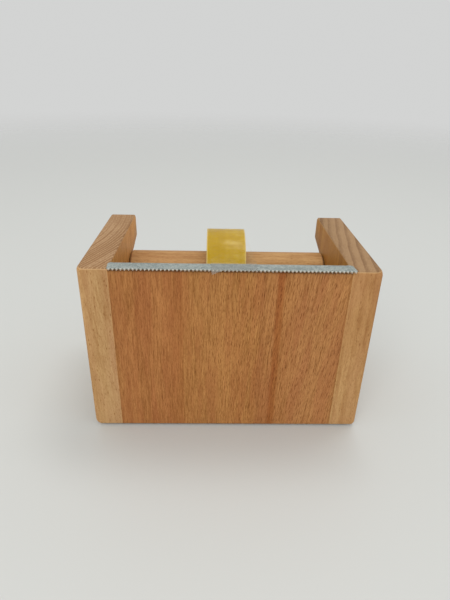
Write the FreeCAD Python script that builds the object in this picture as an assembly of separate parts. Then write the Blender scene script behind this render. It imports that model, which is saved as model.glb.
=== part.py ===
import FreeCAD, Part
import math
import os

from FreeCAD import Vector

# A wooden desk tape dispenser.  Two cheeks stand on either side of a front panel and a base block.
# Their sloping slots, open at the back, hold an axle, and the roller on it carries the tape.
# A toothed steel strip caps the panel.
# X runs from left to right, Y from front to back and Z up.  The origin is the middle of the underside,
# on the surface that the dispenser stands on.  Sizes are in millimetres and angles in degrees.

# Wooden body
body_width = 125.0
body_depth = 75.0
body_height = 81.7  # of the wood, without the sheet under it
cheek_thickness = 12.7
panel_thickness = 5.0
base_thickness = 18.0
back_corner_radius = 3.0  # upper rear corner of each cheek
outer_edge_radius = 1.0  # edges that a hand meets
inner_edge_chamfer = 0.4  # edges that face the bay

# Slots in the cheeks
slot_width = 9.0
slot_angle = 14.5  # rise towards the back
slot_mouth_radius = 1.2
seat_from_back = 23.0  # centre of the slots' round ends, ahead of the back edge
seat_below_top = 22.7  # the same centre, below the wood's top

# Sheet under the base
sheet_thickness = 0.7
sheet_margin = 7.0
sheet_corner_radius = 4.0

# Dowels in the glued joints of the base
dowel_diameter = 8.0
dowel_length = 24.0
dowel_depth_in_cheek = 8.0
dowel_from_ends = 16.0  # from the front and back ends of the base block
dowel_clearance = 0.05
hole_spare_depth = 0.5

# Axle and roller
axle_diameter = 8.0
axle_inset = 1.0  # of its ends from the outer faces of the cheeks
axle_seat_gap = 0.15
axle_chamfer = 0.8
roller_diameter = 20.0
roller_end_gap = 0.5
roller_bore_clearance = 0.08
roller_chamfer = 0.8

# Roll of tape
tape_width = 19.0
roll_diameter = 48.0
core_bore = 25.4
core_wall = 1.6
core_proud = 0.2  # each side of the tape
roll_hang_gap = 0.2  # between the roller's top and the core's bore
roll_offset = -1.0  # along the roller, from the middle

# Free end of the tape
tail_thickness = 0.2
tail_roll_gap = 0.3
tail_strip_gap = 0.1
tail_wrap_angle = 14.0  # how far it still lies round the roll
tail_drift = 2.3  # sideways, from the roll to the strip
torn_edge_overhang = 0.3  # beyond the tips of the teeth
flap_width = 4.9
flap_reach = 2.6

# Toothed steel strip, bent along its length
steel_thickness = 0.5
tooth_pitch = 1.6
tooth_height = 1.2
tooth_tip_flat = 0.12
tooth_overhang = 2.0  # of the tips, beyond the front of the panel
strip_overlap = 0.7  # on to each cheek's top, on average
strip_offset = 0.4  # to the right
strip_end_skew = 0.6  # of the sheared ends
strip_corner_radius = 1.5
strip_end_setback = 0.4  # of the flange's ends, ahead of the leg's rear face
leg_height = 10.0  # of the leg behind the panel, below the panel's top
leg_end_gap = 1.5
bend_radius = 0.3  # inside the bend
bend_clearance = 0.1  # of the panel's eased edge inside the bend

# Screws through the strip's leg
screw_count = 3
screw_diameter = 2.2
screw_length = 4.2  # under the head
screw_tip_length = 1.4
screw_head_diameter = 4.2
screw_head_height = 1.3
screw_head_top_diameter = 2.4  # flat middle of the sloping head
screw_drop = 5.5  # below the panel's top
screw_clearance = 0.05
screw_end_distance = 11.0  # from the ends of the leg

# Levels and planes that several pieces share
wood_bottom = sheet_thickness
wood_top = wood_bottom + body_height
front = -body_depth / 2
back = body_depth / 2
panel_back = front + panel_thickness
bay_half = body_width / 2 - cheek_thickness
strip_top = wood_top + steel_thickness
tip_line = front - tooth_overhang
slot_radius = slot_width / 2

# Centres of the slots' seats, of the axle and of the roll, in the plane across X
slope = math.radians(slot_angle)
along_slot = Vector(0, math.cos(slope), math.sin(slope))
across_slot = Vector(0, -math.sin(slope), math.cos(slope))
seat = Vector(0, back - seat_from_back, wood_top - seat_below_top)
axle_centre = seat - Vector(0, 0, slot_radius - axle_diameter / 2 - axle_seat_gap)
roll_centre = axle_centre + Vector(0, 0, roller_diameter / 2 + roll_hang_gap - core_bore / 2)

along_x = Vector(1, 0, 0)
tolerance = 1e-6


def rounded_face(corners):
    """Flat face with straight sides, from (point, corner radius) pairs in order round it."""
    arcs = []
    for index, (corner, radius) in enumerate(corners):
        to_last = (corners[index - 1][0] - corner).normalize()
        to_next = (corners[(index + 1) % len(corners)][0] - corner).normalize()
        half_angle = to_last.getAngle(to_next) / 2
        setback = radius / math.tan(half_angle)
        bisector = (to_last + to_next).normalize()
        middle = corner + bisector * (radius / math.sin(half_angle) - radius)
        arcs.append((corner + to_last * setback, middle, corner + to_next * setback))
    edges = []
    for index, (start, middle, end) in enumerate(arcs):
        if start.distanceToPoint(end) > tolerance:
            edges.append(Part.Arc(start, middle, end).toShape())
        next_start = arcs[(index + 1) % len(arcs)][0]
        if end.distanceToPoint(next_start) > tolerance:
            edges.append(Part.LineSegment(end, next_start).toShape())
    return Part.Face(Part.Wire(edges))


def box_between(low, high):
    """Box from its lowest to its highest corner."""
    size = high - low
    return Part.makeBox(size.x, size.y, size.z, low)


def rod(diameter, start, end):
    """Plain cylinder between two points."""
    axis = end - start
    return Part.makeCylinder(diameter / 2, axis.Length, start, axis)


def turned(half_section, centre, axis):
    """Solid turned about a level axis, from (distance along it, radius) points of its half section."""
    points = [centre + axis * distance + Vector(0, 0, radius) for distance, radius in half_section]
    return Part.Face(Part.makePolygon(points + [points[0]])).revolve(centre, axis, 360)


def edges_where(shape, test):
    """Edges of a shape whose two ends and middle all pass the test."""
    chosen = []
    for edge in shape.Edges:
        middle = edge.valueAt((edge.FirstParameter + edge.LastParameter) / 2)
        if all(test(point) for point in [vertex.Point for vertex in edge.Vertexes] + [middle]):
            chosen.append(edge)
    return chosen


def near(value, target):
    return abs(value - target) < 1e-4


def cheek_outline(x):
    """Side view of a cheek: a board whose slot slopes down from the back edge to a round seat."""
    slot_end = seat - along_slot * slot_radius
    corners = [
        (Vector(x, front, wood_bottom), 0),
        (Vector(x, back, wood_bottom), 0),
        (slot_mouth(x, -1), slot_mouth_radius),
        (slot_end - across_slot * slot_radius + along_x * x, slot_radius),
        (slot_end + across_slot * slot_radius + along_x * x, slot_radius),
        (slot_mouth(x, 1), slot_mouth_radius),
        (Vector(x, back, wood_top), back_corner_radius),
        (Vector(x, front, wood_top), 0),
    ]
    return rounded_face(corners)


def slot_mouth(x, side):
    """Point where the slot's upper flank (side 1) or lower flank (side -1) meets the back edge."""
    flank = seat + across_slot * (slot_radius * side)
    reach = (back - flank.y) / along_slot.y
    return flank + along_slot * reach + along_x * x


def dowel_places():
    """Y positions of the dowels along a base joint."""
    return [panel_back + dowel_from_ends, back - dowel_from_ends]


def dowel_line(side, y, spare):
    """Ends of a dowel or, with spare depth, of its hole: the end in the cheek, then the end in the base."""
    height = wood_bottom + base_thickness / 2
    outer = side * (bay_half + dowel_depth_in_cheek + spare)
    inner = side * (bay_half + dowel_depth_in_cheek - dowel_length - spare)
    return Vector(outer, y, height), Vector(inner, y, height)


def base_dowels(side):
    """The dowels of one side, half in the cheek and half in the base block."""
    return Part.makeCompound([rod(dowel_diameter, *dowel_line(side, y, 0)) for y in dowel_places()])


def dowel_holes(side):
    """Blind holes for the dowels of one side, through both pieces of the joint."""
    hole_diameter = dowel_diameter + 2 * dowel_clearance
    return [rod(hole_diameter, *dowel_line(side, y, hole_spare_depth)) for y in dowel_places()]


def cheek(side):
    """One upright side: -1 is the left one, 1 the right one."""
    inner = side * bay_half
    outer = side * body_width / 2
    board = cheek_outline(inner).extrude(along_x * (outer - inner))
    base_top = wood_bottom + base_thickness
    bay_edges = edges_where(board, lambda p: near(p.x, inner) and p.y > panel_back and p.z > base_top)
    top_edge = edges_where(board, lambda p: near(p.x, inner) and near(p.z, wood_top))
    board = board.makeChamfer(inner_edge_chamfer, bay_edges + top_edge)
    corner_edges = [
        edge
        for y, z in [(front, wood_bottom), (front, wood_top), (back, wood_bottom)]
        for edge in edges_where(board, lambda p: near(p.y, y) and near(p.z, z))
    ]
    board = board.makeFillet(outer_edge_radius, corner_edges)
    board = board.makeFillet(outer_edge_radius, edges_where(board, lambda p: near(p.x, outer)))
    return board.cut(dowel_holes(side))


def front_panel():
    """Board between the cheeks, flush with their front edges, with pilot holes in its back."""
    board = box_between(Vector(-bay_half, front, wood_bottom), Vector(bay_half, panel_back, wood_top))
    level_edges = edges_where(board, lambda p: near(p.y, front) and near(p.z, wood_bottom))
    level_edges += edges_where(board, lambda p: near(p.y, front) and near(p.z, wood_top))
    board = board.makeFillet(outer_edge_radius, level_edges)
    bend_edge = edges_where(board, lambda p: near(p.y, panel_back) and near(p.z, wood_top))
    board = board.makeFillet(bend_radius + bend_clearance, bend_edge)
    return board.cut(screw_holes())


def base_block():
    """Thick floor of the bay, behind the panel, with holes for the dowels in its ends."""
    low = Vector(-bay_half, panel_back, wood_bottom)
    high = Vector(bay_half, back, wood_bottom + base_thickness)
    block = box_between(low, high)
    rear_edges = edges_where(block, lambda p: near(p.y, back) and near(p.z, low.z))
    rear_edges += edges_where(block, lambda p: near(p.y, back) and near(p.z, high.z))
    block = block.makeFillet(outer_edge_radius, rear_edges)
    return block.cut(dowel_holes(-1) + dowel_holes(1))


def anti_slip_sheet():
    """Thin rubber sheet glued under the base block, with round corners."""
    half_width = bay_half - sheet_margin
    half_depth = back - panel_thickness - sheet_margin
    outline = [
        (Vector(x * half_width, y * half_depth, 0), sheet_corner_radius)
        for x, y in [(-1, -1), (1, -1), (1, 1), (-1, 1)]
    ]
    return rounded_face(outline).extrude(Vector(0, 0, sheet_thickness))


def axle():
    """Plain rod that lies in the two seats."""
    reach = along_x * (body_width / 2 - axle_inset)
    bar = rod(axle_diameter, axle_centre - reach, axle_centre + reach)
    return bar.makeChamfer(axle_chamfer, [edge for edge in bar.Edges if edge.isClosed()])


def roller():
    """Bored roller that turns on the axle, with chamfered rims."""
    half_length = bay_half - roller_end_gap
    bore = axle_diameter / 2 + roller_bore_clearance
    rim = roller_diameter / 2
    half_section = [
        (-half_length, bore),
        (half_length, bore),
        (half_length, rim - roller_chamfer),
        (half_length - roller_chamfer, rim),
        (-half_length + roller_chamfer, rim),
        (-half_length, rim - roller_chamfer),
    ]
    return turned(half_section, axle_centre, along_x)


def roll_middle():
    return roll_centre + along_x * roll_offset


def ring(half_width, inside, outside):
    """Plain ring of the roll, from its two radii."""
    inner_line = [(-half_width, inside), (half_width, inside)]
    outer_line = [(half_width, outside), (-half_width, outside)]
    return turned(inner_line + outer_line, roll_middle(), along_x)


def tape_core():
    """Moulded core that the tape is wound on, a little wider than the tape."""
    return ring(tape_width / 2 + core_proud, core_bore / 2, core_bore / 2 + core_wall)


def tape_winding():
    """The wound tape, tight on its core."""
    return ring(tape_width / 2, core_bore / 2 + core_wall, roll_diameter / 2)


def zigzag(x_start, x_end, y_crest, depth):
    """Points of a toothed edge from x_start to x_end, with its crests on y_crest and flats at both ends."""
    count = int((x_end - x_start) / tooth_pitch + tolerance)
    first = (x_start + x_end - count * tooth_pitch) / 2
    points = []
    for tooth in range(count):
        middle = first + (tooth + 0.5) * tooth_pitch
        points.append(Vector(middle - (tooth_pitch - tooth_tip_flat) / 2, y_crest + depth, 0))
        points.append(Vector(middle - tooth_tip_flat / 2, y_crest, 0))
        points.append(Vector(middle + tooth_tip_flat / 2, y_crest, 0))
        points.append(Vector(middle + (tooth_pitch - tooth_tip_flat) / 2, y_crest + depth, 0))
    return points


def tail_underside():
    """Side view of the underside: where it leaves the roll, the strip's two edges and the flap's end."""
    radius = roll_diameter / 2 + tail_roll_gap
    rear = Vector(0, panel_back + steel_thickness, strip_top + tail_strip_gap)
    to_rear = rear - roll_centre
    lift = math.atan2(to_rear.z, -to_rear.y) + math.acos(radius / to_rear.Length)
    tangent = roll_centre + Vector(0, -math.cos(lift), math.sin(lift)) * radius
    tips = Vector(0, tip_line, rear.z)
    flap_end = tips - along_slot * (flap_reach / along_slot.y)
    return tangent, rear, tips, flap_end


def offset_corner(last, corner, following, distance):
    """Corner of the parallel line that lies the given distance above a bent line in side view."""
    normals = []
    for start, end in [(last, corner), (corner, following)]:
        run = (end - start).normalize()
        normals.append(Vector(0, run.z, -run.y))
    bisector = (normals[0] + normals[1]).normalize()
    return corner + bisector * (distance / bisector.dot(normals[0]))


def tail_section():
    """Side view of the free end: an arc over the roll, the span to the strip, the strip and the flap."""
    tangent, rear, tips, flap_end = tail_underside()
    radius = roll_diameter / 2 + tail_roll_gap
    outward = (tangent - roll_centre).normalize()
    turn = FreeCAD.Rotation(along_x, -tail_wrap_angle)
    half_turn = FreeCAD.Rotation(along_x, -tail_wrap_angle / 2)
    arcs = []
    for reach in (radius, radius + tail_thickness):
        points = [roll_centre + rotation.multVec(outward) * reach for rotation in (turn, half_turn)]
        arcs.append(points + [roll_centre + outward * reach])
    flap_normal = Vector(0, -along_slot.z, along_slot.y)
    top = [
        flap_end + flap_normal * tail_thickness,
        offset_corner(rear, tips, flap_end, tail_thickness),
        offset_corner(tangent, rear, tips, tail_thickness),
        arcs[1][2],
    ]
    under, over = arcs
    edges = [
        Part.Arc(*under).toShape(),
        Part.makePolygon([under[2], rear, tips, flap_end] + top),
        Part.Arc(*reversed(over)).toShape(),
        Part.LineSegment(over[0], under[0]).toShape(),
    ]
    return Part.Face(Part.Wire(edges))


def tail_plan():
    """Outline of the free end from above: it drifts sideways, and its torn edge follows the teeth."""
    half_width = tape_width / 2
    behind = roll_centre.y + roll_diameter
    left_at_strip = roll_offset + tail_drift - half_width
    right_at_strip = roll_offset + tail_drift + half_width
    torn_edge = tip_line - torn_edge_overhang
    outline = [
        Vector(roll_offset - half_width, behind, 0),
        Vector(roll_offset - half_width, roll_centre.y, 0),
        Vector(left_at_strip, panel_back, 0),
        Vector(left_at_strip, torn_edge - flap_reach, 0),
    ]
    outline += zigzag(left_at_strip + flap_width, right_at_strip, torn_edge, tooth_height / 2)
    outline += [
        Vector(right_at_strip, torn_edge, 0),
        Vector(right_at_strip, panel_back, 0),
        Vector(roll_offset + half_width, roll_centre.y, 0),
        Vector(roll_offset + half_width, behind, 0),
    ]
    return Part.Face(Part.makePolygon(outline + [outline[0]]))


def tape_tail():
    """The free end of the tape, from the top of the roll to its torn edge."""
    section = tail_section()
    section.translate(along_x * -body_width / 2)
    sheet = section.extrude(along_x * body_width)
    return sheet.common(tail_plan().extrude(Vector(0, 0, 2 * wood_top)))


def strip_flange():
    """Flat top of the strip: teeth in front, ends sheared at a slant."""
    left = strip_offset - bay_half - strip_overlap
    right = strip_offset + bay_half + strip_overlap
    shear = strip_end_skew / 2
    rear = panel_back + steel_thickness - strip_end_setback
    valley = tip_line + tooth_height
    outline = [Vector(left - shear, rear, 0), Vector(left + shear, valley, 0)]
    outline += zigzag(left + shear, right + shear, tip_line, tooth_height)
    outline += [Vector(right + shear, valley, 0), Vector(right - shear, rear, 0)]
    plate = Part.Face(Part.makePolygon(outline + [outline[0]])).extrude(Vector(0, 0, steel_thickness))
    ends = edges_where(plate, lambda p: near(p.y, rear) and abs(p.x) > bay_half)
    corners = [edge for edge in ends if near(edge.Length, steel_thickness)]
    plate = plate.makeFillet(strip_corner_radius, corners)
    return plate.translated(Vector(0, 0, wood_top))


def strip_leg():
    """Bend and leg of the strip, behind the panel."""
    outer_bend = bend_radius + steel_thickness
    rear = panel_back + steel_thickness
    left = -bay_half + leg_end_gap
    low = wood_top - leg_height
    corners = [
        (Vector(left, panel_back, low), 0),
        (Vector(left, rear, low), 0),
        (Vector(left, rear, strip_top), outer_bend),
        (Vector(left, rear - 2 * outer_bend, strip_top), 0),
        (Vector(left, rear - 2 * outer_bend, wood_top), 0),
        (Vector(left, panel_back, wood_top), bend_radius),
    ]
    return rounded_face(corners).extrude(along_x * (2 * bay_half - 2 * leg_end_gap))


def screw_places():
    """X positions of the screws, evenly spread over the leg."""
    last = bay_half - leg_end_gap - screw_end_distance
    return [last * (2 * index / (screw_count - 1) - 1) for index in range(screw_count)]


def screw_seat(x):
    """Point on the leg where the middle of a screw's head lies."""
    return Vector(x, panel_back + steel_thickness, wood_top - screw_drop)


def screw_holes():
    """Holes of the screws, through the leg and into the back of the panel."""
    reach = Vector(0, screw_length + screw_clearance, 0)
    diameter = screw_diameter + 2 * screw_clearance
    return [rod(diameter, screw_seat(x), screw_seat(x) - reach) for x in screw_places()]


def screw(x):
    """Wood screw that points to the front: a head with a sloping top, a shank and a conical tip."""
    head_radius = screw_head_diameter / 2
    shank_radius = screw_diameter / 2
    half_section = [
        (-screw_head_height, 0),
        (-screw_head_height, screw_head_top_diameter / 2),
        (0, head_radius),
        (0, shank_radius),
        (screw_length - screw_tip_length, shank_radius),
        (screw_length, 0),
    ]
    return turned(half_section, screw_seat(x), Vector(0, -1, 0))


def strip_screws():
    return Part.makeCompound([screw(x) for x in screw_places()])


def cutter_strip():
    """Toothed flange and drilled leg, bent from one piece of galvanised sheet."""
    bent_sheet = strip_flange().cut(bend_relief()).fuse(strip_leg()).removeSplitter()
    return bent_sheet.cut(screw_holes())


def bend_relief():
    """Square corner left along the flange's rear edge where the bend replaces it."""
    outer_bend = bend_radius + steel_thickness
    rear = panel_back + steel_thickness
    end = bay_half - leg_end_gap
    low = Vector(-end, rear - outer_bend, wood_top - steel_thickness)
    high = Vector(end, rear + steel_thickness, strip_top + steel_thickness)
    return box_between(low, high)


pieces = {
    "left_cheek": cheek(-1),
    "right_cheek": cheek(1),
    "front_panel": front_panel(),
    "base_block": base_block(),
    "left_base_dowels": base_dowels(-1),
    "right_base_dowels": base_dowels(1),
    "anti_slip_sheet": anti_slip_sheet(),
    "cutter_strip": cutter_strip(),
    "strip_screws": strip_screws(),
    "axle": axle(),
    "roller": roller(),
    "tape_core": tape_core(),
    "tape_winding": tape_winding(),
    "tape_tail": tape_tail(),
}

os.makedirs("parts", exist_ok=True)
for name, shape in pieces.items():
    shape.exportStep(f"parts/{name}.step")
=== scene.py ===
import bpy
import math
import random
from mathutils import Matrix, Vector


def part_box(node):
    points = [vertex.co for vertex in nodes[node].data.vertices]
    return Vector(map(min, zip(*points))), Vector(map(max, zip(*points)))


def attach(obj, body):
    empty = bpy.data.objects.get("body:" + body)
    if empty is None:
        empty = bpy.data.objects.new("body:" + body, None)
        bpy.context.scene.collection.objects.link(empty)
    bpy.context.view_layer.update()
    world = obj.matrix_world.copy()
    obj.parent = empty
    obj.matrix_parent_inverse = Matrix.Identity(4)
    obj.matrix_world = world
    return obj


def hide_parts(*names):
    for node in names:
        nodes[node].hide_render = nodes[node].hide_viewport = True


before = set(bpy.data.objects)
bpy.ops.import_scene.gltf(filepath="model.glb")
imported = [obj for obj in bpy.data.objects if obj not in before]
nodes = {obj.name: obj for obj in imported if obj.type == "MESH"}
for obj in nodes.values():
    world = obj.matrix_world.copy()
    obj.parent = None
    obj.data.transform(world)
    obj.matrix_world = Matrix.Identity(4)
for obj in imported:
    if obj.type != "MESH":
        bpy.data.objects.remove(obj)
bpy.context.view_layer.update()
print("frame loaded:", len(nodes), "nodes")

mm = 0.001
touch = 0.01 * mm  # a point this near a place counts as lying on it
rowReach = 0.02 * mm  # the same for round rims and rows of film
weld = 0.001 * mm  # points nearer than this are joined in a CAD copy, and nearer than half of it in a piece
facing = 0.99  # a face looks along an axis when its normal has more than this of it

panelLow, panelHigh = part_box("front_panel")
leftCheekLow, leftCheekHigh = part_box("left_cheek")
windingLow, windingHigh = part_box("tape_winding")
coreLow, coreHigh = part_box("tape_core")
stripLow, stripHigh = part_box("cutter_strip")
screwsLow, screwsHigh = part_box("strip_screws")
rollMiddle = (windingLow + windingHigh) / 2
rollRadius = (windingHigh.y - windingLow.y) / 2
rollWidth = windingHigh.x - windingLow.x
coreRadius = (coreHigh.z - coreLow.z) / 2


# Helpers for meshes: every new piece starts with nothing selected and ends in object mode.

def clearSelection():
    if bpy.context.mode != "OBJECT":
        bpy.ops.object.mode_set(mode="OBJECT")
    bpy.ops.object.select_all(action="DESELECT")


def placed(name):
    # takes the new primitive's place into its mesh
    piece = bpy.context.object
    piece.name = name
    piece.data.name = name
    bpy.ops.object.transform_apply(location=True, rotation=True, scale=True)
    return piece


def makeBlock(name, low, high):
    # a block between its lowest and its highest corner
    clearSelection()
    bpy.ops.mesh.primitive_cube_add(size=1, location=(low + high) / 2)
    bpy.context.object.scale = high - low
    return placed(name)


def pick(piece, kind, test):
    # selects what passes the test and leaves edit mode on
    # a face is tested by its middle and normal, an edge by its two ends, a point by its place
    bpy.ops.object.mode_set(mode="EDIT")
    bpy.ops.mesh.select_mode(type={"faces": "FACE", "edges": "EDGE", "points": "VERT"}[kind])
    bpy.ops.mesh.select_all(action="DESELECT")
    bpy.ops.object.mode_set(mode="OBJECT")
    mesh = piece.data
    if kind == "faces":
        for face in mesh.polygons:
            face.select = test(face.center, face.normal)
    elif kind == "edges":
        for edge in mesh.edges:
            first, second = [mesh.vertices[index].co for index in edge.vertices]
            edge.select = test(first, second)
    else:
        for point in mesh.vertices:
            point.select = test(point.co)
    bpy.ops.object.mode_set(mode="EDIT")


def extrude(x, y, z):
    # draws a new row or face out of what is selected
    bpy.ops.mesh.extrude_region_move(TRANSFORM_OT_translate={"value": (x, y, z)})


def rounded(piece, kind, test, radius, steps):
    # rounds the edges or points that pass the test
    pick(piece, kind, test)
    affect = "EDGES" if kind == "edges" else "VERTICES"
    bpy.ops.mesh.bevel(offset=radius * mm, segments=steps, affect=affect)
    bpy.ops.object.mode_set(mode="OBJECT")


def cleaned(piece, smoothAngle):
    bpy.ops.object.mode_set(mode="EDIT")
    bpy.ops.mesh.select_all(action="SELECT")
    bpy.ops.mesh.remove_doubles(threshold=weld / 2)
    bpy.ops.mesh.normals_make_consistent(inside=False)
    bpy.ops.object.mode_set(mode="OBJECT")
    bpy.ops.object.shade_smooth_by_angle(angle=math.radians(smoothAngle))
    return piece


def copied(original, name):
    # a copy with its own mesh, alone selected
    clearSelection()
    piece = original.copy()
    piece.data = original.data.copy()
    piece.name = name
    piece.data.name = name
    bpy.context.scene.collection.objects.link(piece)
    piece.select_set(True)
    bpy.context.view_layer.objects.active = piece
    return piece


def dress(piece, material, body, slot, *replaced):
    piece.data.materials.clear()
    piece.data.materials.append(material)
    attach(piece, body)
    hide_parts(*replaced)


# Helpers for materials.

def newMaterial(name):
    material = bpy.data.materials.new(name)
    material.use_nodes = True
    tree = material.node_tree
    return material, tree, tree.nodes["Principled BSDF"]


def addNode(tree, kind, inputs=None, **options):
    node = tree.nodes.new("ShaderNode" + kind)
    for option, value in options.items():
        setattr(node, option, value)
    for socket, value in (inputs or {}).items():
        feed(tree, node.inputs[socket], value)
    return node


def feed(tree, socket, value):
    if isinstance(value, bpy.types.NodeSocket):
        tree.links.new(value, socket)
    elif isinstance(value, (tuple, list)) and len(value) == 3 and socket.type == "RGBA":
        socket.default_value = (*value, 1)
    else:
        socket.default_value = value


def objectPlace(tree):
    return addNode(tree, "TexCoord").outputs["Object"]


def axes(tree, vector):
    return addNode(tree, "SeparateXYZ", {0: vector}).outputs


def lengthOf(tree, vector):
    return addNode(tree, "VectorMath", {0: vector}, operation="LENGTH").outputs["Value"]


def sums(tree, operation, a, b=0.0, c=0.0):
    node = addNode(tree, "Math", operation=operation)
    for socket, value in zip(node.inputs, (a, b, c)):
        feed(tree, socket, value)
    return node.outputs[0]


def ramp(tree, value, low, high, outLow=0.0, outHigh=1.0):
    inputs = {0: value, 1: low, 2: high, 3: outLow, 4: outHigh}
    return addNode(tree, "MapRange", inputs, interpolation_type="SMOOTHSTEP").outputs[0]


def centred(tree, value, amount, base):
    # base plus the amount times how far a 0 to 1 value is from its middle
    return sums(tree, "MULTIPLY_ADD", sums(tree, "SUBTRACT", value, 0.5), amount, base)


def mixColour(tree, factor, a, b, how="MIX"):
    node = addNode(tree, "Mix", data_type="RGBA", blend_type=how)
    feed(tree, node.inputs[0], factor)
    feed(tree, node.inputs[6], a)
    feed(tree, node.inputs[7], b)
    return node.outputs[2]


def shaded(tree, tone, first, second):
    # from the first colour to the second, over tones from a little under 0 to a little over 1
    return mixColour(tree, ramp(tree, tone, -0.1, 1.1), first, second)


def stretched(tree, vector, cell):
    # counts along each axis in cells of that many millimetres
    sides = [1 / (side * mm) for side in cell]
    return addNode(tree, "VectorMath", {0: vector, 1: sides}, operation="MULTIPLY").outputs[0]


def softNoise(tree, vector, cell, detail=2.0, roughness=0.5, offset=0.0):
    place = stretched(tree, vector, cell)
    if offset:
        shift = {0: place, 1: (offset, offset, offset)}
        place = addNode(tree, "VectorMath", shift, operation="ADD").outputs[0]
    inputs = {"Vector": place, "Scale": 1.0, "Detail": detail, "Roughness": roughness}
    return addNode(tree, "TexNoise", inputs).outputs[0]


def lineNoise(tree, value, cell, detail=2.0, roughness=0.5):
    # noise that changes along one direction only
    steps = sums(tree, "DIVIDE", value, cell * mm)
    inputs = {"W": steps, "Scale": 1.0, "Detail": detail, "Roughness": roughness}
    return addNode(tree, "TexNoise", inputs, noise_dimensions="1D").outputs[0]


def addBump(tree, shader, strength, depth, height):
    bump = addNode(tree, "Bump", {"Strength": strength, "Distance": depth * mm, "Height": height})
    feed(tree, shader.inputs["Normal"], bump.outputs[0])


# Beech. The grain is solid: growth rings lie round a heart outside the board, and rays and fibres
# follow them. around = along the rings, outward = away from the heart, along = with the grain.

# size and depth: a spread and the least. rim: where a spindle begins to thin and where it is gone
fleckForm = {"soft": 0.1, "size": (0.7, 0.55), "rim": (0.45, 1.1), "depth": (0.5, 0.5)}


def beechSpace(tree, wood):
    heartX, heartY = wood["heart"]
    turnedPlace = addNode(tree, "Mapping", {
        "Vector": objectPlace(tree),
        "Location": (-heartX * mm, -heartY * mm, 0),
        "Rotation": [math.radians(angle) for angle in wood["turn"]],
    }).outputs[0]
    x, y, along = axes(tree, turnedPlace)
    outward = lengthOf(tree, addNode(tree, "CombineXYZ", {0: x, 1: y}).outputs[0])
    away, aside = wood["toBoard"]
    angle = sums(tree, "SUBTRACT", sums(tree, "ARCTAN2", y, x), math.atan2(aside, away))
    around = sums(tree, "MULTIPLY", angle, math.hypot(away, aside) * mm)
    # the grain leans across the board, by a slope that may grow from one side to the other
    height = sums(tree, "SUBTRACT", along, sum(wood["ends"]) / 2)
    lean = sums(tree, "MULTIPLY_ADD", around, wood["leanGrowth"], wood["lean"])
    lean = sums(tree, "MINIMUM", lean, wood["leanMost"])
    around = sums(tree, "MULTIPLY_ADD", height, lean, around)
    outward = sums(tree, "MULTIPLY_ADD", height, wood["tilt"], outward)
    return addNode(tree, "CombineXYZ", {0: around, 1: outward, 2: along}).outputs[0]


def rayFlecks(tree, space, cell, fleck, share):
    # one spindle near the middle of each cell, kept in a share of the cells
    scaled = stretched(tree, space, cell)
    spots = addNode(tree, "TexVoronoi", {"Vector": scaled, "Scale": 1.0, "Randomness": 1.0})
    toSpot = {0: scaled, 1: spots.outputs["Position"]}
    away = addNode(tree, "VectorMath", toSpot, operation="SUBTRACT").outputs[0]
    shape = [cellSide / fleckSide for cellSide, fleckSide in zip(cell, fleck)]
    away = addNode(tree, "VectorMath", {0: away, 1: shape}, operation="MULTIPLY").outputs[0]
    chance = addNode(tree, "SeparateColor", {0: spots.outputs["Color"]}).outputs
    kept = ramp(tree, chance[0], 1 - share - fleckForm["soft"], 1 - share + fleckForm["soft"])
    size = sums(tree, "MULTIPLY_ADD", chance[1], *fleckForm["size"])
    inside = ramp(tree, sums(tree, "DIVIDE", lengthOf(tree, away), size), *fleckForm["rim"], 1.0, 0.0)
    depth = sums(tree, "MULTIPLY_ADD", chance[2], *fleckForm["depth"])
    return sums(tree, "MULTIPLY", sums(tree, "MULTIPLY", inside, kept), depth)


def boardBands(tree, wood):
    # broad bands of the board, side by side across its face; on a cheek the band at its inner face is
    # painted bounce light and shade
    place = objectPlace(tree)
    drift = softNoise(tree, place, wood["driftCell"], detail=3.0, offset=11.0)
    x = centred(tree, drift, wood["bandDrift"] * mm, axes(tree, place)["X"])
    low, high = wood["bandEnds"]
    across = addNode(tree, "MapRange", {0: x, 1: low, 2: high}).outputs[0]
    bands = addNode(tree, "ValToRGB", {0: across})
    stops = bands.color_ramp.elements
    while len(stops) > 1:
        stops.remove(stops[0])
    for index, (position, tint) in enumerate(wood["bands"]):
        stop = stops[0] if index == 0 else stops.new(1.0)
        stop.position = (position * mm - low) / (high - low)
        stop.color = (*tint, 1)
    return bands.outputs[0]


def lateWood(tree, wood, space, around, outward):
    # 0 in the pale early wood of each ring, rising to the dark line at its end
    wander = softNoise(tree, space, wood["wanderCell"])
    warped = sums(tree, "MULTIPLY_ADD", wander, wood["ringWander"] * mm, outward)
    count = sums(tree, "DIVIDE", warped, wood["ringWidth"] * mm)
    phase = sums(tree, "FRACT", count)
    rise = ramp(tree, phase, *wood["lateFrom"])
    late = sums(tree, "MULTIPLY", rise, ramp(tree, phase, *wood["lateTo"], 1.0, 0.0))
    luck = addNode(tree, "TexWhiteNoise", {"W": sums(tree, "FLOOR", count)}, noise_dimensions="1D")
    late = sums(tree, "MULTIPLY", late, sums(tree, "MULTIPLY_ADD", luck.outputs["Value"], *wood["ringLuck"]))
    if "ringFade" in wood:
        # towards one side the rings fade into a middle tone
        nearEnd, farEnd = [side * mm for side in wood["ringFade"]]
        left = wood["ringLeft"]
        lost = ramp(tree, around, nearEnd, farEnd, 0.0, (1 - left) * wood["fadedTone"])
        late = sums(tree, "MULTIPLY_ADD", late, ramp(tree, around, nearEnd, farEnd, 1.0, left), lost)
    return late


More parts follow.
